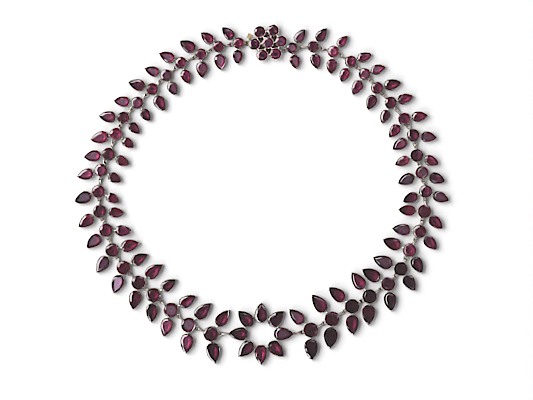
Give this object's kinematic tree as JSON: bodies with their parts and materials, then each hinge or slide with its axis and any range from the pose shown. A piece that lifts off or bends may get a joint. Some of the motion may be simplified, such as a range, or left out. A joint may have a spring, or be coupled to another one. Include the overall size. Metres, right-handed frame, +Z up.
{
  "type": "garnet choker",
  "caption": "Closed ring of hinged sprays, each a round and two leaf-shaped cut garnets in closed settings, with an open flower in front and a cluster clasp behind.",
  "frame": {"origin": "centre of the footprint of the choker as it lies flat, on the surface it rests on", "axes": "+X to the right as it is laid out, +Y from the front flower to the clasp, +Z up from the surface"},
  "size_m": [0.15, 0.1362, 0.0033],
  "materials": {
    "silver": "worn silver, dark in the hollows",
    "gold": "pale worn gold",
    "garnet": "polished, foiled behind"
  },
  "bodies": {
    "root": {"link_left_01": "silver", "link_left_02": "silver", "link_left_03": "silver", "link_left_04": "silver", "link_left_05": "silver", "link_left_06": "silver", "link_left_07": "silver", "link_left_08": "silver", "link_left_09": "silver", "link_left_10": "silver", "link_left_11": "silver", "link_left_12": "silver", "link_left_13": "silver", "link_left_14": "silver", "link_left_15": "silver", "link_left_16": "silver", "link_left_17": "silver", "link_left_18": "silver", "link_left_19": "silver", "link_left_20": "silver", "link_left_21": "silver", "link_right_01": "silver", "link_right_02": "silver", "link_right_03": "silver", "link_right_04": "silver", "link_right_05": "silver", "link_right_06": "silver", "link_right_07": "silver", "link_right_08": "silver", "link_right_09": "silver", "link_right_10": "silver", "link_right_11": "silver", "link_right_12": "silver", "link_right_13": "silver", "link_right_14": "silver", "link_right_15": "silver", "link_right_16": "silver", "link_right_17": "silver", "link_right_18": "silver", "link_right_19": "silver", "link_right_20": "silver", "link_right_21": "silver", "flower_setting": "silver", "clasp_setting": "silver", "clasp_tongue": "gold", "round_garnets_left": "garnet", "round_garnets_right": "garnet", "outer_garnets_left": "garnet", "outer_garnets_right": "garnet", "inner_garnets_left": "garnet", "inner_garnets_right": "garnet", "flower_garnets": "garnet", "clasp_garnets": "garnet"}
  },
  "joints": []
}
